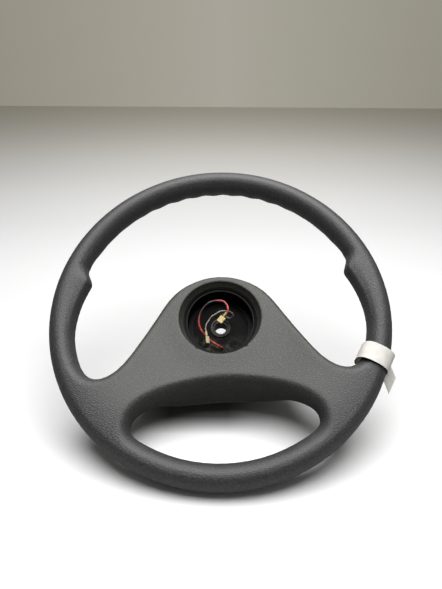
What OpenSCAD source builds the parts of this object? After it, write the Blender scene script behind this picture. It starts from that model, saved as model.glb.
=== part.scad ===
// Car steering wheel: a one-piece foam moulding over a steel frame, with an open hub recess,
// horn leads and the contact parts behind the hub. X is right, Y points back along the column,
// Z is up towards 12 o'clock. The origin is on the column axis, at the rear face of the hub boss.

/* [Rim] */
// Outer diameter of the rim
rim_d = 380; // [370:1:390]
// Width of the grip across the rim
grip_w = 26; // [25:0.5:28]
// Thickness of the grip from front to back
grip_t = 31; // [29:0.5:34]
// Distance from the rear face of the boss forward to the middle of the rim
rim_lead = 82; // [78:1:90]
// Diameter of the steel ring in the rim
ring_rod_d = 12; // [8:0.5:14]

/* [Thumb rests] */
// Height of each thumb rest's peak above the horizontal, in degrees
thumb_peak = 14.5; // [13:0.5:16]
// How far each thumb rest stands in from the grip
thumb_reach = 11.3; // [6:0.1:13]
// Angle over which the rest runs out below its peak
thumb_run = 24; // [18:1:28]
// Angle of the step above the peak
thumb_step = 7; // [4:0.5:8]

/* [Finger grips] */
// Number of finger hollows on each half of the upper rim
finger_count = 8; // [6:1:9]
// Depth of a finger hollow
finger_depth = 1.6; // [0.6:0.1:2]
// How far the ridges between the hollows stand out from the plain section
finger_rise = 1.2; // [0:0.1:1.6]

/* [Web] */
// Depth of the web's front face at the column axis, behind the middle of the rim
web_front = 19.5; // [18:0.5:22]
// Lean of the web's front face: its top stands further back than its foot
web_lean = 7.5; // [4:0.5:9]
// Depth of the web's rear face at the hub, behind the middle of the rim
web_back = 66; // [65:0.5:68]
// Radius of the crown over the hub
crown_r = 77; // [75:0.5:79]
// Height of the crown above the column axis
crown_top = 57; // [56:0.5:59]
// Radius of the round at the top of the crown
crown_round = 5; // [4:0.5:8]
// Radius of the round along the flanks and the web's lower edge
edge_round = 9; // [7:0.5:10]
// Drop from the column axis to the web's lower edge
web_drop = 79; // [76:0.5:80]
// How far the underside swells down behind its front edge
belly = 9; // [4:0.5:10]
// Outer diameter of the round skirt behind the hub
skirt_d = 92; // [90:1:93]
// Wall of the skirt
skirt_wall = 5; // [4:0.5:5.5]
// Depth of the skirt's rear edge, behind the middle of the rim
skirt_back = 75; // [72:0.5:78]

/* [Hub recess] */
// Diameter of the recess at its mouth
mouth_d = 96; // [94:1:97]
// Radius of the mouth's rounded lip
lip_r = 1.2; // [0.6:0.2:2]
// Outer diameter of the liner, and of the recess behind the funnel
liner_d = 82; // [80:1:84]
// Wall of the liner
liner_wall = 1.6; // [1.2:0.1:2.2]
// Depth of the liner's front edge, behind the middle of the rim
liner_front = 36; // [34:1:40]
// Width of the ledge at the liner's foot
ledge_w = 6.5; // [4:0.5:7]
// Width of each clip slot in the lip
slot_w = 3.6; // [3:0.2:5]
// How far a clip slot reaches outside the mouth
slot_reach = 2; // [1:0.5:3]
// Angle of each clip slot from the bottom of the recess
slot_angle = 35; // [30:1:40]

/* [Frame] */
// Diameter of the pressed steel dish
dish_d = 92; // [88:1:94]
// Thickness of the dish
dish_t = 2.5; // [2:0.1:3]
// Depth of the dish's front face, behind the middle of the rim
dish_front = 60; // [58:0.5:61]
// Width of a spoke arm
arm_w = 24; // [18:1:28]
// Thickness of a spoke arm
arm_t = 4; // [3:0.5:6]
// Angle of the arms below the horizontal
arm_angle = 38; // [35:1:41]

/* [Boss] */
// Minor diameter of the splined bore
bore_d = 14.4; // [14.2:0.1:15.5]
// Diameter of the boss collar in the recess
collar_d = 24.5; // [23:0.5:26]
// Diameter of the nut seat
seat_d = 20.5; // [18:0.5:22]
// Depth of the nut seat
seat_depth = 2; // [1:0.25:3]
// Diameter of the boss flange behind the dish
flange_d = 44; // [40:1:46]
// Thickness of the boss flange
flange_t = 4; // [3:0.5:5]
// Diameter of the boss sleeve behind the flange
sleeve_d = 25; // [22:0.5:26]
// Number of spline teeth
spline_count = 24; // [18:2:30]
// Depth of the spline grooves
spline_depth = 0.8; // [0.5:0.1:1]
// Length of the plain lead at the rear of the bore
bore_lead = 8; // [5:0.5:10]

/* [Contact parts] */
// Diameter of the contact carrier
carrier_d = 76; // [74:1:78]
// Thickness of the contact carrier
carrier_t = 7; // [6:0.5:8]
// Outer diameter of the contact ring
contact_d = 72; // [70:0.5:73]
// Width of the contact ring
contact_w = 6; // [4:0.5:7]
// Thickness of the contact ring
contact_t = 1; // [0.8:0.1:1.4]
// Diameter of the cancelling ring
cancel_d = 35; // [33:0.5:37]
// Number of carrier screws
screw_count = 3; // [2:1:4]
// Shank diameter of a carrier screw
screw_d = 3.5; // [3:0.5:4]
// Clearance between parts that fit together
fit_gap = 0.25; // [0.1:0.05:0.4]

/* [Leads] */
// Diameter of the red lead
red_d = 2.6; // [2:0.1:3]
// Diameter of the thin lead
thin_d = 1.6; // [1.2:0.1:1.8]
// Width of a spade terminal
spade_w = 7.4; // [6.8:0.1:8]
// Sheet thickness of the terminals
spade_t = 0.5; // [0.3:0.1:0.6]

/* [Paper tag] */
// Width of the paper strip round the rim
tag_w = 20; // [18:0.5:21]
// Thickness of the paper
tag_t = 0.4; // [0.3:0.05:0.5]
// How far the strip's end stands out from the loop
tag_tail = 15; // [8:1:20]

/* [Hidden] */
$fn = 72;

// Sizes of the rim's section
grip_r = rim_d / 2 - grip_w / 2;
inner_r = rim_d / 2 - grip_w;
half_w = grip_w / 2;
half_t = grip_t / 2;

// Section angles: 90 is the front of the grip, 180 its inner side, 270 its back
inner_phi = [100, 120, 140, 156, 172, 188, 204, 220, 240, 260];
outer_phi = [for (a = [280:20:440]) a];
section_phi = concat(inner_phi, outer_phi);
sides = len(section_phi);
edge_steps = len(inner_phi) - 1;

// The web leaves the rim between these two angles, in this many rows
web_high = -17.4;
web_low = -58;
rows = 14;

// Stations round the right half, from the top of the rim to its foot
finger_low = 24;
finger_fade = 8;
finger_steps = 4;
half_angles = concat(
    [for (i = [0:finger_count * finger_steps - 1])
        90 - i * (90 - finger_low) / (finger_count * finger_steps)],
    [for (a = [finger_low:-1:13]) a],
    [for (i = [0:9]) 12 + i * (web_high - 12) / 10],
    [for (i = [0:rows]) web_high + i * (web_low - web_high) / rows],
    [for (i = [1:8]) web_low + i * (-90 - web_low) / 8]);
half_count = len(half_angles) - 1;
ring_count = 2 * half_count;
first_row = half_count - 8 - rows;

function smooth(x) = let (c = min(1, max(0, x))) c * c * (3 - 2 * c);
function unit2(v) = v / norm(v);
function place(x, depth, z) = [x, depth - rim_lead, z];
function ring_angle(i) = i <= half_count ? half_angles[i] : 180 - half_angles[ring_count - i];

// How far the thumb rest pushes the inner side of the grip in, at a height above the horizontal
function thumb_push(a) = a > thumb_peak
    ? thumb_reach * (1 - smooth((a - thumb_peak) / thumb_step))
    : thumb_reach * pow(max(0, 1 - (thumb_peak - a) / thumb_run), 1.3);
function thumb_share(phi) = phi > 100 && phi < 260
    ? pow(min(1, min(phi - 100, 260 - phi) / 56), 1.3) : 0;

// Finger hollows lie on the inner back of the upper rim, with a ridge at 12 o'clock
function finger_cut(a, phi) = a > finger_low && phi > 170 && phi < 290
    ? (finger_depth * (0.5 - 0.5 * cos((90 - a) * 360 * finger_count / (90 - finger_low)))
        - finger_rise * smooth((a - finger_low) / finger_fade)) * sin((phi - 170) * 1.5)
    : 0;

function rim_point(i, phi) = let (
        a = ring_angle(i),
        h = a > 90 ? 180 - a : a,
        cut = finger_cut(h, phi),
        rho = grip_r + (half_w - cut) * cos(phi) - thumb_push(h) * thumb_share(phi),
        depth = -(half_t - cut) * sin(phi))
    place(rho * cos(a), depth, rho * sin(a));

// Front and rear depth of the web. The front leans, and both run out into the rim.
web_r = grip_r + half_w * cos(100);
rim_face = half_t * sin(100);
land_r = 62;
function front_depth(p) = let (s = smooth((norm(p) - land_r) / (web_r - land_r)))
    (web_front + tan(web_lean) * p[1]) * (1 - s) - rim_face * s;
function back_depth(rho) = web_back
    - (web_back - rim_face) * smooth((rho - land_r) / (web_r - land_r));

function bez(p, t) = pow(1 - t, 3) * p[0] + 3 * pow(1 - t, 2) * t * p[1]
    + 3 * (1 - t) * t * t * p[2] + t * t * t * p[3];
function bez_dir(p, t) = unit2(pow(1 - t, 2) * (p[1] - p[0]) + 2 * (1 - t) * t * (p[2] - p[1])
    + t * t * (p[3] - p[2]));

// Upper edge of the web: a crown over the hub, a flank and a valley that runs up into the rim
crown_z = crown_top - crown_r;
crown_end = 30;
crown_steps = 8;
flank_steps = 5;
valley_steps = 9;
stations = crown_steps + flank_steps + valley_steps;
flank_a = [crown_r * cos(crown_end), crown_z + crown_r * sin(crown_end)];
flank_b = [101.5, -46.5];
flank_dir = unit2([46, -89]);
flank = [flank_a, flank_a + 20 * [sin(crown_end), -cos(crown_end)], flank_b - 20 * flank_dir,
    flank_b];
valley_end = inner_r * [cos(web_high), sin(web_high)];
valley_pull = 39;
valley = [flank_b, flank_b + valley_pull * flank_dir,
    valley_end - valley_pull * [-sin(web_high), cos(web_high)], valley_end];

function top_edge(k) = k < crown_steps
    ? let (a = 90 - (90 - crown_end) * k / crown_steps)
        [crown_r * cos(a), crown_z + crown_r * sin(a)]
    : k < crown_steps + flank_steps
        ? bez(flank, (k - crown_steps) / flank_steps)
        : bez(valley, (k - crown_steps - flank_steps) / valley_steps);
function top_dir(k) = k < crown_steps
    ? let (a = 90 - (90 - crown_end) * k / crown_steps) [sin(a), -cos(a)]
    : k < crown_steps + flank_steps
        ? bez_dir(flank, (k - crown_steps) / flank_steps)
        : bez_dir(valley, (k - crown_steps - flank_steps) / valley_steps);

// Lower edge of the web, which is the top of the lower opening, and its turn into the rim
arch_end = [98, -122];
arch_steps = 16;
arch = [[0, -web_drop], [44, -web_drop], [97, -96], arch_end];
heel_end = inner_r * [cos(web_low), sin(web_low)];
heel = [arch_end, arch_end + [0, -8], heel_end - 9 * [sin(web_low), -cos(web_low)], heel_end];
function low_edge(k) = k < arch_steps
    ? bez(arch, k / arch_steps) : bez(heel, (k - arch_steps) / (stations - arch_steps));
function low_dir(k) = k < arch_steps
    ? bez_dir(arch, k / arch_steps) : bez_dir(heel, (k - arch_steps) / (stations - arch_steps));

// The edge's round grows into the grip's own section, and its underside swells near the middle
function edge_r(k, start) = start + (half_w - start) * smooth((k - 12) / (stations - 12));
function crown_edge(k) = crown_round + (edge_round - crown_round) * smooth(k / crown_steps);
function edge_power(k) = 0.62 + 0.38 * smooth((k - 12) / (stations - 12));
function swell(k) = belly * (1 - smooth(k / stations));

// One point of the upper or lower edge, in the plane of the rim
function top_flat(k, phi) = top_edge(k)
    - top_normal(k) * edge_r(k, crown_edge(k)) * (1 - pow(abs(cos(phi)), edge_power(k)));
function low_flat(k, phi) = low_edge(k)
    - low_normal(k) * edge_r(k, edge_round) * (1 - pow(abs(cos(phi)), edge_power(k)))
    + low_normal(k) * swell(k) * smooth((phi - 100) / 110);

// The same point with its depth, between those of the front and the back
function edge_point(k, phi, flat, front, back) = let (
        f = front_depth(front),
        b = back_depth(norm(back)),
        s = sin(phi) / sin(100),
        depth = (f + b) / 2 - (b - f) / 2 * sign(s) * pow(abs(s), edge_power(k)))
    place(flat[0], depth, flat[1]);
function top_point(k, phi) = edge_point(k, phi, top_flat(k, phi), top_flat(k, 100), top_flat(k, 260));
function low_point(k, phi) = edge_point(k, phi, low_flat(k, phi), low_flat(k, 100), low_flat(k, 260));
function top_normal(k) = let (d = top_dir(k)) [-d[1], d[0]];
function low_normal(k) = let (d = low_dir(k)) [d[1], -d[0]];

// One point of a face row, between the two edges, bowed towards the rim near its end
function face_flat(k, u, phi) = let (
        a = top_flat(k, phi),
        b = low_flat(k, phi),
        t = web_high + u * (web_low - web_high),
        arc = web_r * [cos(t), sin(t)],
        chord = web_r * ((1 - u) * [cos(web_high), sin(web_high)] + u * [cos(web_low), sin(web_low)]))
    (1 - u) * a + u * b + smooth((k - 11) / (stations - 11)) * (arc - chord);
function front_point(k, u) = let (p = face_flat(k, u, 100)) place(p[0], front_depth(p), p[1]);
function back_point(k, u) = let (p = face_flat(k, u, 260)) place(p[0], back_depth(norm(p)), p[1]);

// A closed loop round the web: front from top to bottom, lower edge, back, upper edge
function web_loop(k) = concat(
    [for (r = [0:rows - 1]) front_point(k, r / rows)],
    [for (e = [0:edge_steps - 1]) low_point(k, inner_phi[e])],
    [for (r = [rows:-1:1]) back_point(k, r / rows)],
    [for (e = [edge_steps:-1:1]) top_point(k, inner_phi[e])]);
function mirrored(points) = [for (p = points) [-p[0], p[1], p[2]]];
loop_count = 2 * (rows + edge_steps);
web_count = 2 * stations - 1;
rim_total = ring_count * sides;

// Point numbers of the rim's windows, in the order of the web's loop
function rim_index(i, j) = (i % ring_count) * sides + j % sides;
function window_loop(side) = [for (q = concat(
        [for (r = [0:rows - 1]) [first_row + r, 0]],
        [for (e = [0:edge_steps - 1]) [first_row + rows, e]],
        [for (r = [rows:-1:1]) [first_row + r, edge_steps]],
        [for (e = [edge_steps:-1:1]) [first_row, e]]))
    rim_index(side > 0 ? q[0] : ring_count - q[0], q[1])];
function loop_index(s, l) = s == 0 ? window_loop(-1)[l % loop_count]
    : s == web_count + 1 ? window_loop(1)[l % loop_count]
    : rim_total + (s - 1) * loop_count + l % loop_count;
function in_window(i, j) = j < edge_steps && (
    (i >= first_row && i < first_row + rows)
    || (i >= ring_count - first_row - rows && i < ring_count - first_row));

// Skin of the whole moulding: the rim's section swept round, and the web between its windows
module skin() {
    left = [for (s = [stations - 1:-1:1]) mirrored(web_loop(s))];
    right = [for (s = [0:stations - 1]) web_loop(s)];
    points = concat(
        [for (i = [0:ring_count - 1]) for (phi = section_phi) rim_point(i, phi)],
        [for (l = concat(left, right)) for (p = l) p]);
    quads = concat(
        [for (i = [0:ring_count - 1]) for (j = [0:sides - 1]) if (!in_window(i, j))
            [rim_index(i, j), rim_index(i + 1, j), rim_index(i + 1, j + 1), rim_index(i, j + 1)]],
        [for (s = [0:web_count]) for (l = [0:loop_count - 1])
            [loop_index(s, l), loop_index(s + 1, l), loop_index(s + 1, l + 1),
                loop_index(s, l + 1)]]);
    faces = [for (q = quads) for (f = [[q[0], q[1], q[2]], [q[0], q[2], q[3]]]) f];
    polyhedron(points, faces);
}

// Turns a shape drawn about Z so that it stands about the column axis, at a depth behind the rim
module about_axis(depth) {
    translate([0, depth - rim_lead, 0]) rotate([-90, 0, 0]) children();
}

boss_depth = dish_front - seat_depth;
flange_front = dish_front + dish_t;
carrier_front = flange_front + flange_t;
carrier_back = carrier_front + carrier_t;
liner_r = liner_d / 2;

// A solid through rings of equally many points, which turn right-handed about its run
module loft(rings) {
    n = len(rings[0]);
    last = len(rings) - 1;
    side = [for (i = [0:last - 1]) for (j = [0:n - 1]) let (k = (j + 1) % n)
        for (f = [[i * n + j, (i + 1) * n + k, i * n + k],
            [i * n + j, (i + 1) * n + j, (i + 1) * n + k]]) f];
    ends = [[for (j = [0:n - 1]) j], [for (j = [n - 1:-1:0]) last * n + j]];
    polyhedron([for (ring = rings) for (p = ring) p], concat(side, ends));
}

// A ring round the column axis that leans back at its top
function leaning_ring(r, depth, lean) = [for (a = [0:5:355])
    place(r * sin(a), depth + tan(lean) * r * cos(a), r * cos(a))];

// Hollow of the recess: a funnel from the leaning lip, with a knee just in front of the liner's
// straight seat
knee_run = 4;
knee_out = 3.2;
module recess_space() {
    mouth_r = mouth_d / 2;
    loft(concat(
        [leaning_ring(mouth_r + lip_r, web_front - 12, web_lean)],
        [for (a = [0:30:90]) leaning_ring(mouth_r + lip_r * (1 - sin(a)),
            web_front + lip_r * (1 - cos(a)), web_lean)],
        [leaning_ring(liner_r + knee_out, liner_front - knee_run, 0),
            leaning_ring(liner_r - 0.3, liner_front + 0.5, 0)]));
    about_axis(liner_front) cylinder(r = liner_r, h = dish_front - liner_front);
}

// Round skirt that stands back from the hub round the contact parts
skirt_in = skirt_d / 2 - skirt_wall;
module skirt() {
    r = skirt_d / 2;
    edge = skirt_wall / 2 - 0.3;
    about_axis(0) rotate_extrude() polygon(concat(
        [[skirt_in - 1, dish_front], [r, dish_front]],
        [for (a = [0:15:90]) [r - 0.6 - edge * (1 - cos(a)), skirt_back - edge * (1 - sin(a))]],
        [[skirt_in - 1, skirt_back]]));
}

// Hollow behind the dish, open to the rear
module rear_space() {
    about_axis(flange_front) cylinder(r = skirt_in, h = 20);
}

module clip_slots() {
    slot_front = front_depth([0, -mouth_d / 2 * cos(slot_angle)]) - 2;
    for (side = [-1, 1])
        rotate([0, -side * slot_angle, 0])
            translate([-slot_w / 2, slot_front - rim_lead, -mouth_d / 2 - slot_reach])
                cube([slot_w, 14, mouth_d / 2 + slot_reach - liner_r]);
}

module ring_solid() {
    about_axis(0) rotate_extrude() translate([grip_r, 0]) circle(d = ring_rod_d);
}

module dish_disc() {
    about_axis(dish_front) cylinder(d = dish_d, h = dish_t);
}

// An arm rises from behind the dish's edge to the ring
arm_in = dish_d / 2;
arm_run = grip_r - arm_in;
arm_drop = dish_front + dish_t / 2;
arm_tilt = atan(arm_drop / arm_run);
arm_l = norm([arm_run, arm_drop]);
module arm_bar() {
    rotate([0, arm_angle, 0])
        translate([arm_in, arm_drop - rim_lead, 0])
            rotate([0, 0, -arm_tilt])
                translate([0, -arm_t / 2, -arm_w / 2])
                    difference() {
                        cube([arm_l, arm_t, arm_w]);
                        translate([arm_l * 0.3, -1, arm_w / 2])
                            rotate([-90, 0, 0]) cylinder(d = arm_w / 3, h = arm_t + 2);
                        translate([arm_l * 0.6, -1, arm_w / 2])
                            rotate([-90, 0, 0]) cylinder(d = arm_w / 3, h = arm_t + 2);
                    }
}
module arm(side) {
    color("dimgray")
        difference() {
            if (side > 0) arm_bar();
            else mirror([1, 0, 0]) arm_bar();
            ring_solid();
            dish_disc();
        }
}

module rim_moulding() {
    color([0.2, 0.2, 0.19])
        difference() {
            union() {
                skin();
                skirt();
            }
            recess_space();
            rear_space();
            clip_slots();
            ring_solid();
            dish_disc();
            arm_bar();
            mirror([1, 0, 0]) arm_bar();
        }
}
module rim_ring() { color("slategray") ring_solid(); }
module spoke_arm_left() { arm(-1); }
module spoke_arm_right() { arm(1); }

// Route of the leads through the dish, and their holes
red_hole = [1, -27];
thin_hole = [3, 17];
red_hole_d = 7;
thin_hole_d = 5;
screw_r = 25.5;
module lead_hole(at, d) {
    about_axis(dish_front - 1) translate([at[0], -at[1], 0]) cylinder(d = d, h = dish_t + 2);
}
module screw_places() {
    for (i = [0:screw_count - 1])
        rotate([0, -90 + i * 360 / screw_count, 0]) translate([screw_r, 0, 0]) children();
}

module hub_dish() {
    color([0.12, 0.12, 0.12])
        difference() {
            dish_disc();
            about_axis(dish_front - 1) cylinder(d = collar_d, h = dish_t + 2);
            lead_hole(red_hole, red_hole_d);
            lead_hole(thin_hole, thin_hole_d);
            screw_places() about_axis(dish_front - 1) cylinder(d = screw_d, h = dish_t + 2);
        }
}

// Turned boss: collar with the nut seat, flange and sleeve, with a splined bore
module hub_boss() {
    spline_l = rim_lead - boss_depth - seat_depth - bore_lead;
    spline_r = bore_d / 2 + spline_depth;
    color([0.3, 0.3, 0.3])
        difference() {
            union() {
                about_axis(boss_depth) cylinder(d = collar_d, h = flange_front - boss_depth);
                about_axis(flange_front) cylinder(d = flange_d, h = flange_t);
                about_axis(carrier_front) cylinder(d = sleeve_d, h = rim_lead - carrier_front);
            }
            about_axis(boss_depth - 1) cylinder(d = seat_d, h = seat_depth + 1);
            about_axis(boss_depth) cylinder(d = bore_d, h = rim_lead - boss_depth - bore_lead);
            about_axis(rim_lead - bore_lead) cylinder(r = spline_r + 0.2, h = bore_lead + 1);
            about_axis(boss_depth + seat_depth) linear_extrude(spline_l)
                for (i = [0:spline_count - 1])
                    rotate(i * 360 / spline_count)
                        polygon([[bore_d / 2 - 1, -0.75], [spline_r, -0.35], [spline_r, 0.35],
                            [bore_d / 2 - 1, 0.75]]);
            lead_hole_in_flange();
        }
}
module lead_hole_in_flange() {
    about_axis(flange_front - 1) translate([thin_hole[0], -thin_hole[1], 0])
        cylinder(d = thin_hole_d, h = flange_t + 2);
}

// Liner of the recess: a thin sleeve with a ledge at its foot, seated on the dish
module recess_liner() {
    color([0.05, 0.05, 0.05])
        difference() {
            about_axis(liner_front) cylinder(r = liner_r, h = dish_front - liner_front);
            about_axis(liner_front - 1)
                cylinder(r = liner_r - liner_wall, h = dish_front - liner_front - 1);
            about_axis(liner_front) cylinder(r = liner_r - ledge_w, h = dish_front);
        }
}

module contact_carrier() {
    color([0.08, 0.08, 0.08])
        difference() {
            about_axis(carrier_front) cylinder(d = carrier_d, h = carrier_t);
            about_axis(carrier_front - 1) cylinder(r = sleeve_d / 2 + fit_gap, h = carrier_t + 2);
            about_axis(carrier_back - contact_t / 2) contact_shape(contact_t, fit_gap);
            screw_places() {
                about_axis(carrier_front - 1) cylinder(r = screw_d / 2 + fit_gap, h = carrier_t + 2);
            }
        }
}
module contact_shape(h, gap) {
    difference() {
        cylinder(r = contact_d / 2 + gap, h = h);
        translate([0, 0, -1]) cylinder(r = contact_d / 2 - contact_w - gap, h = h + 2);
    }
}
module contact_ring() {
    color("goldenrod") about_axis(carrier_back - contact_t / 2) contact_shape(contact_t, 0);
}
module cancelling_ring() {
    color([0.75, 0.74, 0.7])
        difference() {
            union() {
                about_axis(carrier_back) cylinder(d = cancel_d, h = 5);
                for (side = [0, 180])
                    rotate([0, side, 0])
                        translate([cancel_d / 2 - 2, carrier_back - rim_lead, -4]) cube([5, 5, 8]);
            }
            about_axis(carrier_back - 1) cylinder(r = sleeve_d / 2 + fit_gap, h = 7);
        }
}
module carrier_screws() {
    color("silver")
        screw_places() {
            about_axis(dish_front) cylinder(d = screw_d, h = carrier_back - dish_front);
            about_axis(carrier_back) cylinder(d = screw_d * 2, h = screw_d * 0.6);
        }
}

module grommet(at, hole, lead) {
    color([0.06, 0.06, 0.06])
        about_axis(dish_front) translate([at[0], -at[1], 0]) difference() {
            union() {
                translate([0, 0, -1.5]) cylinder(d = hole + 2.4, h = 1.5);
                cylinder(d = hole, h = dish_t);
            }
            translate([0, 0, -2]) cylinder(d = lead, h = dish_t + 3);
        }
}
module red_lead_grommet() { grommet(red_hole, red_hole_d, red_d); }
module thin_lead_grommet() { grommet(thin_hole, thin_hole_d, thin_d); }

// Ends of the terminals, from the lead to the open end
red_pin = [[8, 36, 10], [-3, 38, -2]];
thin_pin = [[-17.5, 37, -12], [-16.5, 41, -28]];
red_pin_dir = (red_pin[1] - red_pin[0]) / norm(red_pin[1] - red_pin[0]);
thin_pin_dir = (thin_pin[1] - thin_pin[0]) / norm(thin_pin[1] - thin_pin[0]);
crimp_hold = 2.5;
red_roll = 90;
thin_roll = 90;

// Each lead is one tube swept along points chosen by hand, given as x, depth and z. It starts
// against the contact carrier and its last points lie in the terminal's crimp.
red_route = concat([[1, carrier_front, -27], [1, 62, -27], [1, 57, -27], [-2, 53, -26],
    [-7, 50, -24], [-13, 48, -20], [-19, 45, -14], [-24, 42, -7], [-26, 40, 2], [-24, 39, 12],
    [-19, 38, 20],
    [-13, 37, 25], [-7, 37, 27], [-1, 36, 27], [5, 35, 25], [9, 35, 20], [10, 35, 14]],
    [for (s = [-1, crimp_hold]) red_pin[0] + s * red_pin_dir]);
thin_route = concat([[3, carrier_front, 17], [3, 62, 17], [3, 57, 17], [5, 54, 14], [8, 51, 11],
    [12, 49, 8],
    [14, 47, 8], [16, 44, 9], [15, 41, 11], [12, 39, 13], [8, 37, 13], [4, 36, 13],
    [0, 35, 12], [-5, 35, 9], [-10, 35, 6], [-14, 36, 1], [-17, 36, -4], [-18, 37, -9]],
    [for (s = [-0.5, crimp_hold]) thin_pin[0] + s * thin_pin_dir]);

function cross_unit(a, b) = let (c = cross(a, b)) c / norm(c);
function route_dir(p, i) = let (
        a = p[max(0, i - 1)],
        b = p[min(len(p) - 1, i + 1)]) (b - a) / norm(b - a);
function lead_ring(p, i, d, n) = let (
        t = route_dir(p, i),
        u = cross_unit(t, [0.3, 0.2, 0.93]),
        v = cross(t, u))
    [for (j = [0:n - 1]) place(p[i][0], p[i][1], p[i][2])
        + d / 2 * (cos(360 * j / n) * u + sin(360 * j / n) * v)];
module lead(route, d) {
    loft([for (i = [0:len(route) - 1]) lead_ring(route, i, d, 8)]);
}
module red_lead() { color([0.7, 0.12, 0.12]) lead(red_route, red_d); }
module thin_lead() { color([0.45, 0.4, 0.36]) lead(thin_route, thin_d); }

// Folded spade receptacle: a floor, two sides rolled over it, a neck and a crimp on the lead.
// It is drawn along +X from the lead's end, with its floor down.
module spade(lead_d) {
    body_l = 8;
    crimp_l = 5;
    roll = 2.6;
    crimp_r = lead_d / 2 + spade_t;
    rotate([0, 90, 0]) difference() {
        cylinder(r = crimp_r, h = crimp_l);
        translate([0, 0, -1]) cylinder(d = lead_d, h = crimp_hold + 1);
    }
    translate([crimp_l - 0.5, -1.6, -spade_t / 2]) cube([2, 3.2, spade_t]);
    translate([crimp_l + 1, -spade_w / 2, -spade_t / 2]) cube([body_l, spade_w, spade_t]);
    for (side = [-1, 1])
        translate([crimp_l + 1, side * (spade_w / 2 - roll / 2), roll / 2 - spade_t / 2])
            rotate([0, 90, 0]) difference() {
                cylinder(d = roll, h = body_l);
                translate([0, 0, -1]) cylinder(d = roll - 2 * spade_t, h = body_l + 2);
            }
}
module aim(pin, roll) {
    d = pin[1] - pin[0];
    translate(place(pin[0][0], pin[0][1], pin[0][2]))
        rotate([0, -asin(d[2] / norm(d)), atan2(d[1], d[0])]) rotate([roll, 0, 0]) children();
}
module red_terminal() { color("khaki") aim(red_pin, red_roll) spade(red_d); }
module thin_terminal() { color("khaki") aim(thin_pin, thin_roll) spade(thin_d); }

// Paper strip looped round the grip where the web runs into it, with its end standing out
tag_angle = -22.5;
tag_r = grip_r - 1.7;
tag_turn = 33;
tag_half = [half_w + 4, half_t + 2.7];
function loop_at(a, grow) = [
    (tag_half[0] + grow) * sign(cos(a)) * pow(abs(cos(a)), 0.78),
    (tag_half[1] + grow) * sign(sin(a)) * pow(abs(sin(a)), 0.78)];
module loop_shape(grow) {
    polygon([for (a = [0:9:351]) loop_at(a, grow)]);
}
module paper_tag() {
    fold = loop_at(27, tag_t / 2);
    low = tag_w / 2;
    tip = fold + tag_tail * [0.94, 0.34];
    tail = [[fold[0], fold[1], -low], [tip[0], tip[1], -low - 12], [tip[0], tip[1], low - 12],
        [fold[0], fold[1], low]];
    thick = tag_t * [-0.34, 0.94, 0];
    color("whitesmoke")
        translate(place(tag_r * cos(tag_angle), 0, tag_r * sin(tag_angle))) rotate([0, tag_turn, 0])
            union() {
                linear_extrude(tag_w, center = true) difference() {
                    loop_shape(tag_t);
                    loop_shape(0);
                }
                polyhedron(concat([for (p = tail) p - thick / 2], [for (p = tail) p + thick / 2]),
                    [[3, 2, 1, 0], [4, 5, 6, 7], [5, 4, 0, 1], [6, 5, 1, 2], [7, 6, 2, 3],
                        [4, 7, 3, 0]]);
            }
}

rim_moulding();
rim_ring();
spoke_arm_left();
spoke_arm_right();
hub_dish();
hub_boss();
recess_liner();
contact_carrier();
contact_ring();
cancelling_ring();
carrier_screws();
red_lead_grommet();
thin_lead_grommet();
red_lead();
red_terminal();
thin_lead();
thin_terminal();
paper_tag();
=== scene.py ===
import math

import bpy
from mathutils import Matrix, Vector


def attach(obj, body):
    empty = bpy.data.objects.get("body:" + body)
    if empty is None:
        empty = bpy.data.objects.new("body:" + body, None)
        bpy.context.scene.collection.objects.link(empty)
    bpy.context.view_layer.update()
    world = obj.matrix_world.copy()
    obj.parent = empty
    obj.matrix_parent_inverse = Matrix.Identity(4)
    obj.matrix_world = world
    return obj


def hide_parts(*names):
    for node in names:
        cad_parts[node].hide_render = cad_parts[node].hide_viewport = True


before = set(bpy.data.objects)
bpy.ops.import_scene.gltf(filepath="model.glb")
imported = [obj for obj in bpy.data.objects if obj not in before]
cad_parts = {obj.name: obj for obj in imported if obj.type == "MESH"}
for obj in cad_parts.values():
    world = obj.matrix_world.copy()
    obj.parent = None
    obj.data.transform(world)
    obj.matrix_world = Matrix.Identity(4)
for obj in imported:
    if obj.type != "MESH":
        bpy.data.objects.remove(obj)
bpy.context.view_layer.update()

mm = 0.001

# Camera: it stands in front of the wheel and below its axis, at the photograph's viewing angle,
# and is rolled by the small angle at which the wheel stood.
camera_turn = [math.radians(angle) for angle in (115.488, 2.658, 1.139)]
bpy.ops.object.camera_add(location=(0.00141, -0.54728, -0.20352), rotation=camera_turn)
camera = bpy.context.object
camera.name = "camera"
camera.data.lens = 27.5
camera.data.clip_start = 0.01
bpy.context.scene.camera = camera

# Horn leads: two copper leads in extruded PVC, from the contact behind the hub to the horn pad.
# Each comes up through a grommet in the dish and ends in the crimp of its own spade receptacle.
# They are the only loose things on the wheel, and keep the bends that they were left in.
rim_lead = 82
red_d, thin_d = 2.6, 1.6
before_crimp, crimp_hold = 1, 2.5
route_steps = 6


def at(x, depth, z):
    """A point in metres from X, the depth behind the middle of the rim, and Z in millimetres."""
    return Vector((x * mm, (depth - rim_lead) * mm, z * mm))


def pin_end(start, end):
    """Two points on a terminal's axis: just before its crimp, and at the lead's end inside it."""
    way = (at(*end) - at(*start)).normalized()
    return [at(*start) - way * before_crimp * mm, at(*start) + way * crimp_hold * mm]


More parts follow.
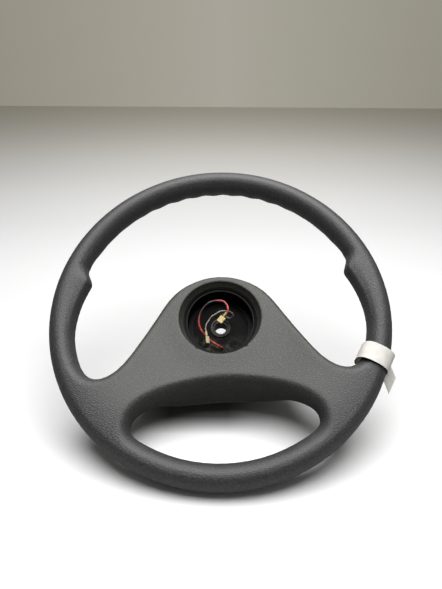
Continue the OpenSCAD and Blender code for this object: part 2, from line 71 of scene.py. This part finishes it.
red_route = [at(*p) for p in [(1, 62, -27), (1, 57, -27), (-2, 53, -26), (-7, 50, -24),
    (-13, 48, -20), (-19, 45, -14), (-24, 42, -7), (-26, 40, 2), (-24, 39, 12), (-19, 38, 20),
    (-13, 37, 25), (-7, 37, 27), (-1, 36, 27), (5, 35, 25), (9, 35, 20), (10, 35, 14)]]
red_route += pin_end((8, 36, 10), (-3, 38, -2))
thin_route = [at(*p) for p in [(3, 62, 17), (3, 57, 17), (5, 54, 14), (8, 51, 11), (12, 49, 8),
    (14, 47, 8), (16, 44, 9), (15, 41, 11), (12, 39, 13), (8, 37, 13), (4, 36, 13), (0, 35, 12),
    (-5, 35, 9), (-10, 35, 6), (-14, 36, 1), (-17, 36, -4), (-18, 37, -9)]]
thin_route += pin_end((-17.5, 37, -12), (-16.5, 41, -28))


def smooth_line(points):
    """Points on a smooth curve through the route's own points."""
    line = []
    for i in range(len(points) - 1):
        a, b = points[max(i - 1, 0)], points[i]
        c, d = points[i + 1], points[min(i + 2, len(points) - 1)]
        for s in range(route_steps):
            t = s / route_steps
            line.append(0.5 * (2 * b + (c - a) * t + (2 * a - 5 * b + 4 * c - d) * t * t
                + (3 * b - a - 3 * c + d) * t * t * t))
    return line + [points[-1]]


def lead(name, route, width):
    """A round lead along a route: the piece and its length."""
    line = smooth_line(route)
    curve = bpy.data.curves.new(name, "CURVE")
    curve.dimensions = "3D"
    curve.bevel_depth = width * mm / 2
    curve.bevel_resolution = 5
    curve.use_fill_caps = True
    spline = curve.splines.new("POLY")
    spline.points.add(len(line) - 1)
    for point, place in zip(spline.points, line):
        point.co = (*place, 1)
    piece = bpy.data.objects.new(name, curve)
    bpy.context.scene.collection.objects.link(piece)
    return piece, sum((b - a).length for a, b in zip(line, line[1:]))


def colour(value):
    """An sRGB hex code, or a plain linear grey, as a linear colour with alpha."""
    if not isinstance(value, str):
        return (value, value, value, 1)
    parts = [int(value[i : i + 2], 16) / 255 for i in (0, 2, 4)]
    return tuple(c / 12.92 if c <= 0.04045 else ((c + 0.055) / 1.055) ** 2.4 for c in parts) + (1,)


def feed(tree, node, inputs):
    """Feeds a node's inputs: a socket is linked, a hex code becomes a colour, a value is set."""
    for name, value in inputs.items():
        if isinstance(value, bpy.types.NodeSocket):
            tree.links.new(value, node.inputs[name])
        else:
            node.inputs[name].default_value = colour(value) if isinstance(value, str) else value


def add(tree, kind, inputs, stops=(), **settings):
    """Adds a shader node with its settings and links. Stops are a ramp's places and colours."""
    node = tree.nodes.new("ShaderNode" + kind)
    for name, value in settings.items():
        setattr(node, name, value)
    feed(tree, node, inputs)
    for i, (place, value) in enumerate(stops):
        bar = node.color_ramp.elements
        element = bar[i] if i < len(bar) else bar.new(1)
        element.position = place
        element.color = colour(value)
    return node


def material(name):
    """A new node material: its tree, its Principled shader, object coordinates and itself."""
    made = bpy.data.materials.new(name)
    made.use_nodes = True
    tree = made.node_tree
    place = add(tree, "TexCoord", {}).outputs["Object"]
    return tree, tree.nodes["Principled BSDF"], place, made


def pvc(name, code, scuffed, shade_colour):
    """PVC insulation, extruded: smooth and slightly waxy, so it shows a soft highlight. Handling
    leaves pale scuffs, 2.5 mm long. A painted shade turns it to the shade colour where the lead
    bends at the recess's top left."""
    tree, shader, place, made = material(name)
    scuff = add(tree, "TexNoise", {"Vector": place, "Scale": 1 / (2.5 * mm), "Detail": 3.0})
    tint = add(tree, "ValToRGB", {"Fac": scuff.outputs["Fac"]}, [(0.35, code), (0.75, scuffed)])
    axes = add(tree, "SeparateXYZ", {"Vector": place})
    # Painted shade: the lead turns to the shade colour where it bends at the recess's top left.
    left = add(tree, "MapRange", {"Value": axes.outputs["X"], "From Min": -7 * mm,
        "From Max": 1 * mm, "To Min": 1.0, "To Max": 0.0})
    top = add(tree, "MapRange", {"Value": axes.outputs["Z"], "From Min": -2 * mm,
        "From Max": 14 * mm})
    grime_and_shade = add(tree, "Math", {0: left.outputs["Result"], 1: top.outputs["Result"]},
        operation="MULTIPLY")
    cover = add(tree, "Mix", {0: grime_and_shade.outputs["Value"], 6: tint.outputs["Color"], 7: shade_colour},
        data_type="RGBA")
    feed(tree, shader, {"Base Color": cover.outputs[2], "Roughness": 0.38, "IOR": 1.53})
    return made


red_lead, red_length = lead("red_horn_lead", red_route, red_d)
# The red lead's last colour, almost black, is its painted shade.
red_lead.data.materials.append(pvc("red PVC insulation", "8c2227", "b35450", "14090a"))
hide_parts("red_lead")
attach(red_lead, "root")

thin_lead, thin_length = lead("thin_horn_lead", thin_route, thin_d)
thin_lead.data.materials.append(pvc("brown-grey PVC insulation", "6f6258", "a59b92", "6f6258"))
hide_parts("thin_lead")
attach(thin_lead, "root")


# Brass parts: the two spade receptacles, stamped from strip, with their wings rolled round the
# tab and the crimp rolled round the lead, and the horn's slip ring, stamped from sheet and set in
# the carrier behind the hub.
def coat(made, *nodes):
    """Gives CAD nodes this material."""
    for node in nodes:
        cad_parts[node].data.materials.clear()
        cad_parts[node].data.materials.append(made)


# Bare brass from the rolling mill: pale yellow, with dull and bright patches 1.4 mm across. It
# shows more of its own colour than of the room, so its metallic value is low. The red lead's
# receptacle is browner; the thin lead's is paler, its brass colour lifted by a painted highlight.
for node, name, dark, light in (("red_terminal", "tarnished brass", "7d6c42", "b5a473"),
        ("thin_terminal", "brass with painted highlight", "cdb888", "f3e8c8"),
        ("contact_ring", "wiped brass", "b39a5e", "e0cb92")):
    tree, shader, place, brass = material(name)
    dull = add(tree, "TexNoise", {"Vector": place, "Scale": 1 / (1.43 * mm), "Detail": 4.0})
    tint = add(tree, "ValToRGB", {"Fac": dull.outputs["Fac"]}, [(0.3, dark), (0.7, light)])
    rough = add(tree, "ValToRGB", {"Fac": dull.outputs["Fac"]}, [(0.3, 0.45), (0.7, 0.25)])
    feed(tree, shader, {"Base Color": tint.outputs["Color"], "Roughness": rough.outputs["Color"],
        "Metallic": 0.4})
    coat(brass, node)

# Frame: the rim's ring is rolled from steel rod and welded, and the two arms are pressed from
# sheet and welded to it. They lie inside the foam, so only a cut-away shows them.
# Rolled steel, bare: grey, with darker clouds of mill scale about 11 mm across.
tree, shader, place, rolled_steel = material("rolled steel")
scale_marks = add(tree, "TexNoise", {"Vector": place, "Scale": 1 / (11.1 * mm), "Detail": 6.0})
tint = add(tree, "ValToRGB", {"Fac": scale_marks.outputs["Fac"]}, [(0.3, "4e4f52"), (0.7, "7b7c7e")])
feed(tree, shader, {"Base Color": tint.outputs["Color"], "Metallic": 1.0, "Roughness": 0.45})
coat(rolled_steel, "rim_ring", "spoke_arm_left", "spoke_arm_right")

# Dish: pressed from steel sheet, welded to the arms and painted black. It is the floor of the
# recess, and old contact grease lies on its lower left part.
# Satin black paint: almost no highlight under its dust, whose specks are about 4 mm apart. The
# grease makes olive-grey blotches 6 mm across.
tree, shader, place, black_paint = material("satin black paint")
dust = add(tree, "TexNoise", {"Vector": place, "Scale": 1 / (3.85 * mm), "Detail": 5.0})
tint = add(tree, "ValToRGB", {"Fac": dust.outputs["Fac"]}, [(0.45, "060606"), (0.8, "131210")])
axes = add(tree, "SeparateXYZ", {"Vector": place})
low = add(tree, "MapRange", {"Value": axes.outputs["Z"], "From Min": -8 * mm, "From Max": -24 * mm})
side = add(tree, "MapRange", {"Value": axes.outputs["X"], "From Min": 10 * mm,
    "From Max": -14 * mm, "To Min": 0.25, "To Max": 0.9})
blotch = add(tree, "TexNoise", {"Vector": place, "Scale": 1 / (5.88 * mm), "Detail": 4.0})
patches = add(tree, "ValToRGB", {"Fac": blotch.outputs["Fac"]}, [(0.48, 0.0), (0.66, 1.0)])
bottom = add(tree, "Math", {0: low.outputs["Result"], 1: side.outputs["Result"]},
    operation="MULTIPLY")
grease = add(tree, "Math", {0: bottom.outputs["Value"], 1: patches.outputs["Color"]},
    operation="MULTIPLY")
soiled = add(tree, "Mix", {0: grease.outputs["Value"], 6: tint.outputs["Color"], 7: "5b5946"},
    data_type="RGBA")
feed(tree, shader, {"Base Color": soiled.outputs[2], "Roughness": 0.5, "Specular IOR Level": 0.05})
coat(black_paint, "hub_dish")

# Boss: turned from steel bar, broached for the shaft's splines and welded into the dish. The
# shaft's nut seats in its front end.
# Turned steel, oiled: dark and half glossy, with thicker oil in patches 5.6 mm across.
tree, shader, place, oiled_steel = material("turned steel, oiled")
oil = add(tree, "TexNoise", {"Vector": place, "Scale": 1 / (5.56 * mm), "Detail": 4.0})
tint = add(tree, "ValToRGB", {"Fac": oil.outputs["Fac"]}, [(0.35, "141414"), (0.7, "2e2d2b")])
feed(tree, shader, {"Base Color": tint.outputs["Color"], "Metallic": 0.9, "Roughness": 0.42})
coat(oiled_steel, "hub_boss")

# Moulding: one piece of integral-skin polyurethane foam, foamed round the frame in a mould, with
# rim, thumb rests, web, hub shroud and recess. The mould gives it soft edges and a leather grain.
# Its skin is made from the solids that fill it, so that it is closed where the frame lies inside.
foam_parts = []
for node in ("rim_moulding", "rim_ring", "spoke_arm_left", "spoke_arm_right", "hub_dish"):
    part = bpy.data.objects.new(node + "_copy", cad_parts[node].data.copy())
    bpy.context.scene.collection.objects.link(part)
    foam_parts.append(part)
bpy.ops.object.select_all(action="DESELECT")
for part in foam_parts:
    part.select_set(True)
bpy.context.view_layer.objects.active = foam_parts[0]
bpy.ops.object.join()
moulding = bpy.context.object
moulding.name = "foam_moulding"
bpy.ops.object.mode_set(mode="EDIT")
bpy.ops.mesh.select_all(action="SELECT")
bpy.ops.mesh.remove_doubles(threshold=0.01 * mm)
bpy.ops.object.mode_set(mode="OBJECT")

grip_r, half_w, half_t = 177, 13, 15.5


def ease(t):
    """A smooth step from 0 to 1."""
    t = min(1, max(0, t))
    return t * t * (3 - 2 * t)


def from_axis(vertex):
    """A point's distance from the wheel's axis and its angle above the horizontal."""
    x, y, z = vertex.co / mm
    return math.hypot(x, z), math.degrees(math.atan2(z, abs(x)))


# Each thumb rest has a full front corner, which the coarse skin of the solid leaves out.
thumb_peak, thumb_reach, thumb_run, thumb_step = 14.5, 11.3, 24, 7
front_turn, corner_turn, full_turn, margin = 80, 34, 56, 1
for vertex in moulding.data.vertices:
    reach, height = from_axis(vertex)
    depth = abs(vertex.co.y / mm + rim_lead)
    if height < thumb_peak - thumb_run or height > thumb_peak + thumb_step:
        continue
    if not grip_r - half_w - thumb_reach - margin < reach < grip_r - 2 * margin:
        continue
    if height > thumb_peak:
        push = thumb_reach * (1 - ease((height - thumb_peak) / thumb_step))
    else:
        push = thumb_reach * (1 - (thumb_peak - height) / thumb_run) ** 1.3
    turn = front_turn - math.degrees(math.asin(min(1, depth / half_t)))
    more = min(1, max(0, turn / corner_turn)) ** 1.15 - min(1, max(0, turn / full_turn)) ** 1.3
    scale = (reach - push * more) / reach
    vertex.co.x *= scale
    vertex.co.z *= scale

# The finger hollows on the inner back of the upper rim run out towards its sides.
finger_low, finger_count, finger_depth = 24, 8, 1.6
fade_low, fade_high, fill_share = 48, 68, 0.4
first_turn, last_turn = 170, 290
for vertex in moulding.data.vertices:
    reach, height = from_axis(vertex)
    depth = vertex.co.y / mm + rim_lead
    turn = math.degrees(math.atan2(-depth / half_t, (reach - grip_r) / half_w)) % 360
    if not (finger_low < height < fade_high and first_turn < turn < last_turn):
        continue
    wave = math.cos(math.radians((90 - height) * 360 * finger_count / (90 - finger_low)))
    fade = 1 - ease((height - fade_low) / (fade_high - fade_low))
    swell = math.sin(math.pi * (turn - first_turn) / (last_turn - first_turn))
    fill = -fill_share * finger_depth * wave * fade * swell
    scale = (reach + fill * math.cos(math.radians(turn))) / reach
    vertex.co.x *= scale
    vertex.co.z *= scale
    vertex.co.y -= fill * math.sin(math.radians(turn)) * mm

# Behind the dish the web's lower wall comes down a little more than the plain solid's.
wall_drop, wall_half, wall_front, wall_high, wall_low = 6.5, 105, 34, -68, -100
side_fade, front_fade, top_fade = 45, 18, 12
for vertex in moulding.data.vertices:
    x, y, z = vertex.co / mm
    depth = y + rim_lead
    if wall_low < z < wall_high and depth > wall_front and abs(x) < wall_half:
        fade = min(1, (wall_half - abs(x)) / side_fade) * min(1, (depth - wall_front) / front_fade)
        vertex.co.z -= wall_drop * fade * min(1, (wall_high - z) / top_fade) * mm

remesh = moulding.modifiers.new("remesh", "REMESH")
remesh.mode = "VOXEL"
remesh.voxel_size = 1.35 * mm
bpy.ops.object.modifier_apply(modifier=remesh.name)

# The facets of the coarse skin are smoothed out, but the recess, the skirt and the thumb rests
# keep most of their edges.
shroud_r, rest_low, rest_high = 54, -8, 24
soft = moulding.vertex_groups.new(name="soft")
for vertex in moulding.data.vertices:
    reach, height = from_axis(vertex)
    weight = min(1, max(0.08, (reach - shroud_r) / 8))
    if rest_low < height < rest_high and reach < grip_r - 4:
        weight = 0.25
    soft.add([vertex.index], weight, "REPLACE")
smooth = moulding.modifiers.new("smooth", "SMOOTH")
smooth.factor = 0.5
smooth.iterations = 14
smooth.vertex_group = soft.name
bpy.ops.object.modifier_apply(modifier=smooth.name)
moulding.vertex_groups.clear()

# Smoothing draws a convex skin in, so it is let out again by what it lost.
bpy.ops.object.mode_set(mode="EDIT")
bpy.ops.mesh.select_all(action="SELECT")
bpy.ops.transform.shrink_fatten(value=0.35 * mm)
bpy.ops.object.mode_set(mode="OBJECT")

# The flat parts of the skin need fewer faces.
thin = moulding.modifiers.new("thin", "DECIMATE")
thin.ratio = 0.64
bpy.ops.object.modifier_apply(modifier=thin.name)

# The recess is cut again with a crisp lip. A ring is extruded step by step, from in front of the
# mouth round the lip and in to the liner's seat. Its front steps lean back at the top as the
# web's face does.
web_front, web_lean, mouth_r, lip_r, liner_r, liner_front = 19.5, 7.5, 48, 1.2, 41, 36
seat_step, seat_gap, cut_front, cut_back = 3.3, 0.1, 12, 80
steps = [(mouth_r + lip_r, web_front - cut_front, 1)]
for turn in (0, 22.5, 45, 67.5, 90):
    bow = math.radians(turn)
    steps.append((mouth_r + lip_r * (1 - math.sin(bow)), web_front + lip_r * (1 - math.cos(bow)), 1))
steps += [(liner_r + seat_step, liner_front - 4, 0), (liner_r + seat_gap, liner_front + 0.5, 0),
    (liner_r + seat_gap, cut_back, 0)]
bpy.ops.object.select_all(action="DESELECT")
bpy.ops.mesh.primitive_circle_add(vertices=180, radius=steps[0][0] * mm, fill_type="NGON",
    location=at(0, steps[0][1], 0), rotation=(math.radians(90), 0, 0))
cutter = bpy.context.object
bpy.ops.object.transform_apply(location=True, rotation=True, scale=True)
bpy.ops.object.mode_set(mode="EDIT")
for (r0, d0, _), (r1, d1, _) in zip(steps, steps[1:]):
    bpy.ops.mesh.extrude_region_move(TRANSFORM_OT_translate={"value": (0, (d1 - d0) * mm, 0)})
    bpy.ops.transform.resize(value=(r1 / r0, 1, r1 / r0), center_override=at(0, d1, 0))
bpy.ops.mesh.select_all(action="SELECT")
bpy.ops.mesh.normals_make_consistent(inside=False)
bpy.ops.object.mode_set(mode="OBJECT")
leaning = {round(depth, 2): lean for _, depth, lean in steps}
for vertex in cutter.data.vertices:
    depth = vertex.co.y / mm + rim_lead
    vertex.co.y += leaning[round(depth, 2)] * math.tan(math.radians(web_lean)) * vertex.co.z
bore = moulding.modifiers.new("bore", "BOOLEAN")
bore.operation = "DIFFERENCE"
bore.solver = "EXACT"
bore.object = cutter
bpy.context.view_layer.objects.active = moulding
bpy.ops.object.modifier_apply(modifier=bore.name)
bpy.data.objects.remove(cutter)
bpy.ops.object.select_all(action="DESELECT")
moulding.select_set(True)
bpy.context.view_layer.objects.active = moulding
bpy.ops.object.shade_smooth_by_angle(angle=math.radians(50))

# Integral-skin polyurethane, dark grey: half matt, with a pebbled leather grain from the mould.
# The real grain is about 1 mm and too fine to show, so it is drawn 3.1 by 1.9 mm. A painted
# shade darkens the creases, with a faint painted highlight on the pebbles' tops. The skin shifts
# in clouds 71 mm across and is a little greener on the web, and a painted shade makes it a little
# darker on the rim. Hands have polished the rim a little, and a painted shade makes the wall
# inside the recess almost black.
grain_w, grain_h, cloud_size, grain_rise = 3.125, 1.923, 71.4, 0.25
hub_r, hand_r, inside_r, inside_edge = 90, 180, 44, 0.3
tree, shader, place, foam = material("integral-skin polyurethane foam")
grain_place = add(tree, "Mapping", {"Vector": place,
    "Scale": (1 / (grain_w * mm), 1 / (grain_w * mm), 1 / (grain_h * mm))})
bend = add(tree, "TexNoise", {"Vector": grain_place.outputs["Vector"], "Scale": 0.5, "Detail": 3.0})
bent = add(tree, "VectorMath", {0: grain_place.outputs["Vector"], 1: bend.outputs["Color"]},
    operation="ADD")
pebble = add(tree, "TexVoronoi", {"Vector": bent.outputs["Vector"], "Scale": 1.0,
    "Randomness": 1.0}, feature="DISTANCE_TO_EDGE")
raised = add(tree, "MapRange", {"Value": pebble.outputs["Distance"], "From Min": 0.0,
    "From Max": 0.3})
bump = add(tree, "Bump", {"Height": raised.outputs["Result"], "Strength": 0.6,
    "Distance": grain_rise * mm})
cloud = add(tree, "TexNoise", {"Vector": place, "Scale": 1 / (cloud_size * mm), "Detail": 2.0})
flat = add(tree, "VectorMath", {0: place, 1: (1.0, 0.0, 1.0)}, operation="MULTIPLY")
radius = add(tree, "VectorMath", {0: flat.outputs["Vector"]}, operation="LENGTH")
outer = add(tree, "MapRange", {"Value": radius.outputs["Value"], "From Min": hub_r * mm,
    "From Max": hand_r * mm})
# The skin is a little greener on the web; its darker tone on the rim is a painted shade.
skin = add(tree, "ValToRGB", {"Fac": outer.outputs["Result"]},
    [(0.0, "3e3f39"), (0.5, "3d3d3a"), (1.0, "3b3a3c")])
shift = add(tree, "ValToRGB", {"Fac": cloud.outputs["Fac"]}, [(0.35, 0.94), (0.65, 1.0)])
tint = add(tree, "Mix", {0: 1.0, 6: skin.outputs["Color"], 7: shift.outputs["Color"]},
    data_type="RGBA", blend_type="MULTIPLY")
# Painted shade in the grain's creases, and a faint painted highlight on the pebbles' tops.
painted_crease_shade = add(tree, "ValToRGB", {"Fac": raised.outputs["Result"]}, [(0.0, 0.5), (0.9, 1.03)])
crease_shaded_skin = add(tree, "Mix", {0: 1.0, 6: tint.outputs[2], 7: painted_crease_shade.outputs["Color"]},
    data_type="RGBA", blend_type="MULTIPLY")
# Painted shade: the foam's wall inside the recess is drawn almost black.
inside = add(tree, "MapRange", {"Value": radius.outputs["Value"],
    "From Min": (inside_r - inside_edge) * mm, "From Max": (inside_r + inside_edge) * mm,
    "To Min": 1.0, "To Max": 0.0})
shaded = add(tree, "Mix", {0: inside.outputs["Result"], 6: crease_shaded_skin.outputs[2], 7: "161615"},
    data_type="RGBA")
worn = add(tree, "ValToRGB", {"Fac": outer.outputs["Result"]}, [(0.0, 0.57), (0.6, 0.56), (1.0, 0.52)])
feed(tree, shader, {"Base Color": shaded.outputs[2], "Normal": bump.outputs["Normal"],
    "Roughness": worn.outputs["Color"], "Specular IOR Level": 0.56, "IOR": 1.48})
moulding.data.materials.clear()
moulding.data.materials.append(foam)
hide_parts("rim_moulding")
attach(moulding, "root")

# Liner, carrier and grommets: the liner is an injection-moulded cup pressed into the recess, the
# carrier a moulded disc screwed on behind the dish, and the grommets keep the leads off the
# dish's edges.
# Black ABS: black with a dull sheen and a fine haze of mould marks, 1.1 mm apart.
tree, shader, place, black_plastic = material("black ABS")
haze = add(tree, "TexNoise", {"Vector": place, "Scale": 1 / (1.11 * mm), "Detail": 2.0})
tint = add(tree, "ValToRGB", {"Fac": haze.outputs["Fac"]}, [(0.3, "0a0a0a"), (0.75, "141413")])
feed(tree, shader, {"Base Color": tint.outputs["Color"], "Roughness": 0.5,
    "Specular IOR Level": 0.1})
coat(black_plastic, "recess_liner", "contact_carrier", "red_lead_grommet", "thin_lead_grommet")

# Cancelling ring: a moulded ring with two lugs that knock the turn signal back. It sits on the
# boss's sleeve and turns with the wheel.
# Natural acetal: off-white and slightly waxy, greyed by grease in patches 6.7 mm across.
tree, shader, place, acetal = material("natural acetal")
grime_and_shade = add(tree, "TexNoise", {"Vector": place, "Scale": 1 / (6.67 * mm), "Detail": 4.0})
tint = add(tree, "ValToRGB", {"Fac": grime_and_shade.outputs["Fac"]}, [(0.3, "b9b4a4"), (0.7, "d8d4c6")])
feed(tree, shader, {"Base Color": tint.outputs["Color"], "Roughness": 0.45})
coat(acetal, "cancelling_ring")

# Carrier screws: three steel screws with cold-formed round heads, which hold the carrier to the
# back of the dish.
# Black oxide: almost black, half glossy metal with a faint haze, 2 mm across.
tree, shader, place, black_oxide = material("black oxide steel")
haze = add(tree, "TexNoise", {"Vector": place, "Scale": 1 / (2 * mm), "Detail": 3.0})
tint = add(tree, "ValToRGB", {"Fac": haze.outputs["Fac"]}, [(0.3, "0a0a0a"), (0.7, "141413")])
feed(tree, shader, {"Base Color": tint.outputs["Color"], "Metallic": 1.0, "Roughness": 0.35})
coat(black_oxide, "carrier_screws")

# Paper tag: a blank strip cut from thin coated paper, looped round the grip and stuck to itself,
# with its end standing out.
# Coated paper: white gone grey, matt, with clouds 8.3 mm across where it was bent and handled.
tree, shader, place, paper = material("coated paper")
bends = add(tree, "TexNoise", {"Vector": place, "Scale": 1 / (8.33 * mm), "Detail": 5.0})
tint = add(tree, "ValToRGB", {"Fac": bends.outputs["Fac"]},
    [(0.3, "bdbbb3"), (0.5, "c9c7c0"), (0.7, "d2d0ca")])
feed(tree, shader, {"Base Color": tint.outputs["Color"], "Roughness": 0.6})
coat(paper, "paper_tag")

# Stage: a pale table top that the wheel's foot stands on, tilted as it lies to the wheel, and a
# grey wall far behind it. Seen from behind, both let the view through.
up = Vector((0.0475, -0.8352, 0.5479)).normalized()
ahead = Vector((0.031, 0.5494, 0.8349)).normalized()
aside = ahead.cross(up).normalized()
foot_drop = 112.2
foot = at(0, 0, 0) - up * foot_drop * mm
near_end, wall_away, wall_height = -0.9, 2.14, 1.5


def plane(name, corners, made):
    """A flat four-cornered piece of the stage."""
    mesh = bpy.data.meshes.new(name)
    mesh.from_pydata([foot + aside * a + ahead * b + up * c for a, b, c in corners], [],
        [(0, 1, 2, 3)])
    mesh.materials.append(made)
    piece = bpy.data.objects.new(name, mesh)
    bpy.context.scene.collection.objects.link(piece)
    piece.visible_transmission = False
    piece.visible_shadow = False


def see_through_behind(tree, shader):
    """Lets the view through the back of a plane."""
    behind = add(tree, "NewGeometry", {}).outputs["Backfacing"]
    clear = add(tree, "BsdfTransparent", {})
    mix = add(tree, "MixShader", {0: behind, 1: shader.outputs[0], 2: clear.outputs[0]})
    feed(tree, tree.nodes["Material Output"], {"Surface": mix.outputs[0]})


# White table top, matt. It is painted almost white in front of the wheel and greyer far behind
# it, a painted falloff of the lamp's light. The wheel gets less light back from it than the camera
# sees, and a painted shadow darkens it right under the web.
tree, shader, place, table = material("white table top")
along = add(tree, "VectorMath", {0: place, 1: tuple(ahead)}, operation="DOT_PRODUCT")
span = add(tree, "MapRange", {"Value": along.outputs["Value"], "From Min": -0.4, "From Max": 2.1})
tint = add(tree, "ValToRGB", {"Fac": span.outputs["Result"]}, [(0.0, "f9f9f9"),
    (0.07, "f9f9f9"), (0.09, "e7e7e7"), (0.17, "cbcbcb"), (0.25, "c7c7c7"), (0.35, "bcbcbc"),
    (0.5, "b9b8b5"), (0.7, "c0bdb5"), (1.0, "cfcabd")])
lit = add(tree, "ValToRGB", {"Fac": span.outputs["Result"]},
    [(0.0, "bcbcbc"), (0.07, "bcbcbc"), (0.11, "818181"), (1.0, "7c7c7c")])
across = add(tree, "VectorMath", {0: place, 1: tuple(aside)}, operation="DOT_PRODUCT")
ends = add(tree, "MapRange", {"Value": across.outputs["Value"], "From Min": -0.2, "From Max": 0.2})
# Painted shadow: the table darkens towards black right under the web.
under_width = add(tree, "ValToRGB", {"Fac": ends.outputs["Result"]},
    [(0.2, 0.0), (0.35, 1.0), (0.52, 1.0), (0.68, 0.0)])
under_span = add(tree, "MapRange", {"Value": along.outputs["Value"], "From Min": -0.2,
    "From Max": 0.0})
under_depth = add(tree, "ValToRGB", {"Fac": under_span.outputs["Result"]},
    [(0.37, 0.0), (0.5, 0.8), (0.7, 0.8), (0.85, 0.0)])
under = add(tree, "Math", {0: under_width.outputs["Color"], 1: under_depth.outputs["Color"]},
    operation="MULTIPLY")
painted_shadow = add(tree, "Mix", {0: under.outputs["Value"], 6: tint.outputs["Color"], 7: "000000"},
    data_type="RGBA")
straight = add(tree, "LightPath", {}).outputs["Is Camera Ray"]
shown = add(tree, "Mix", {0: straight, 6: lit.outputs["Color"], 7: painted_shadow.outputs[2]},
    data_type="RGBA")
feed(tree, shader, {"Base Color": shown.outputs[2], "Roughness": 1.0, "Specular IOR Level": 0.0})
see_through_behind(tree, shader)
plane("table_top", [(-2.0, near_end, 0), (2.0, near_end, 0), (2.0, wall_away, 0),
    (-2.0, wall_away, 0)], table)

# Grey wall: it shows its own plain colour, a little darker towards its sides, a painted falloff of
# light.
tree, shader, place, wall = material("grey wall")
across = add(tree, "VectorMath", {0: place, 1: tuple(aside)}, operation="DOT_PRODUCT")
spread = add(tree, "MapRange", {"Value": across.outputs["Value"], "From Min": -1.2,
    "From Max": 1.2})
tint = add(tree, "ValToRGB", {"Fac": spread.outputs["Result"]},
    [(0.0, "949083"), (0.5, "a8a499"), (1.0, "949184")])
feed(tree, shader, {"Base Color": "000000", "Specular IOR Level": 0.0,
    "Emission Color": tint.outputs["Color"], "Emission Strength": 1.0})
see_through_behind(tree, shader)
plane("wall", [(-1.5, wall_away, 0), (1.5, wall_away, 0), (1.5, wall_away, wall_height),
    (-1.5, wall_away, wall_height)], wall)

# Light: a large soft lamp over the table, a little behind the wheel, and a pale room that is
# brighter at its two sides than in the middle, and dark at the height of the table.
bpy.ops.object.light_add(type="AREA", location=foot + up * 1.3 + ahead * 0.2 + aside * 0.06)
lamp = bpy.context.object
lamp.name = "soft_lamp"
lamp.data.shape = "DISK"
lamp.data.size = 1.45
lamp.data.energy = 38.0
lamp.rotation_euler = (lamp.location - foot).to_track_quat("Z", "Y").to_euler()

world = bpy.data.worlds.new("room")
bpy.context.scene.world = world
world.use_nodes = True
tree = world.node_tree
tree.nodes.clear()
way = add(tree, "TexCoord", {}).outputs["Generated"]
rising = add(tree, "VectorMath", {0: way, 1: tuple(up)}, operation="DOT_PRODUCT")
level = add(tree, "MapRange", {"Value": rising.outputs["Value"], "From Min": -1.0, "From Max": 1.0})
room = add(tree, "ValToRGB", {"Fac": level.outputs["Result"]},
    [(0.0, 0.3), (0.4, 0.1), (0.5, 0.01), (0.7, 0.02), (0.85, 0.08), (1.0, 0.15)])
sideways = add(tree, "VectorMath", {0: way, 1: tuple(aside)}, operation="DOT_PRODUCT")
turned = add(tree, "MapRange", {"Value": sideways.outputs["Value"], "From Min": -1.0,
    "From Max": 1.0})
windows = add(tree, "ValToRGB", {"Fac": turned.outputs["Result"]},
    [(0.0, 0.7), (0.3, 0.25), (0.5, 0.18), (0.7, 0.45), (1.0, 1.0)])
strength = add(tree, "Math", {0: windows.outputs["Color"], 1: 5.0}, operation="MULTIPLY")
room_light = add(tree, "Background", {"Color": room.outputs["Color"],
    "Strength": strength.outputs["Value"]})
white = add(tree, "Background", {"Color": "f9f9f9", "Strength": 1.0})
seen = add(tree, "LightPath", {}).outputs["Is Camera Ray"]
mix = add(tree, "MixShader", {0: seen, 1: room_light.outputs[0], 2: white.outputs[0]})
add(tree, "OutputWorld", {"Surface": mix.outputs[0]})

bpy.context.scene.view_settings.view_transform = "Standard"
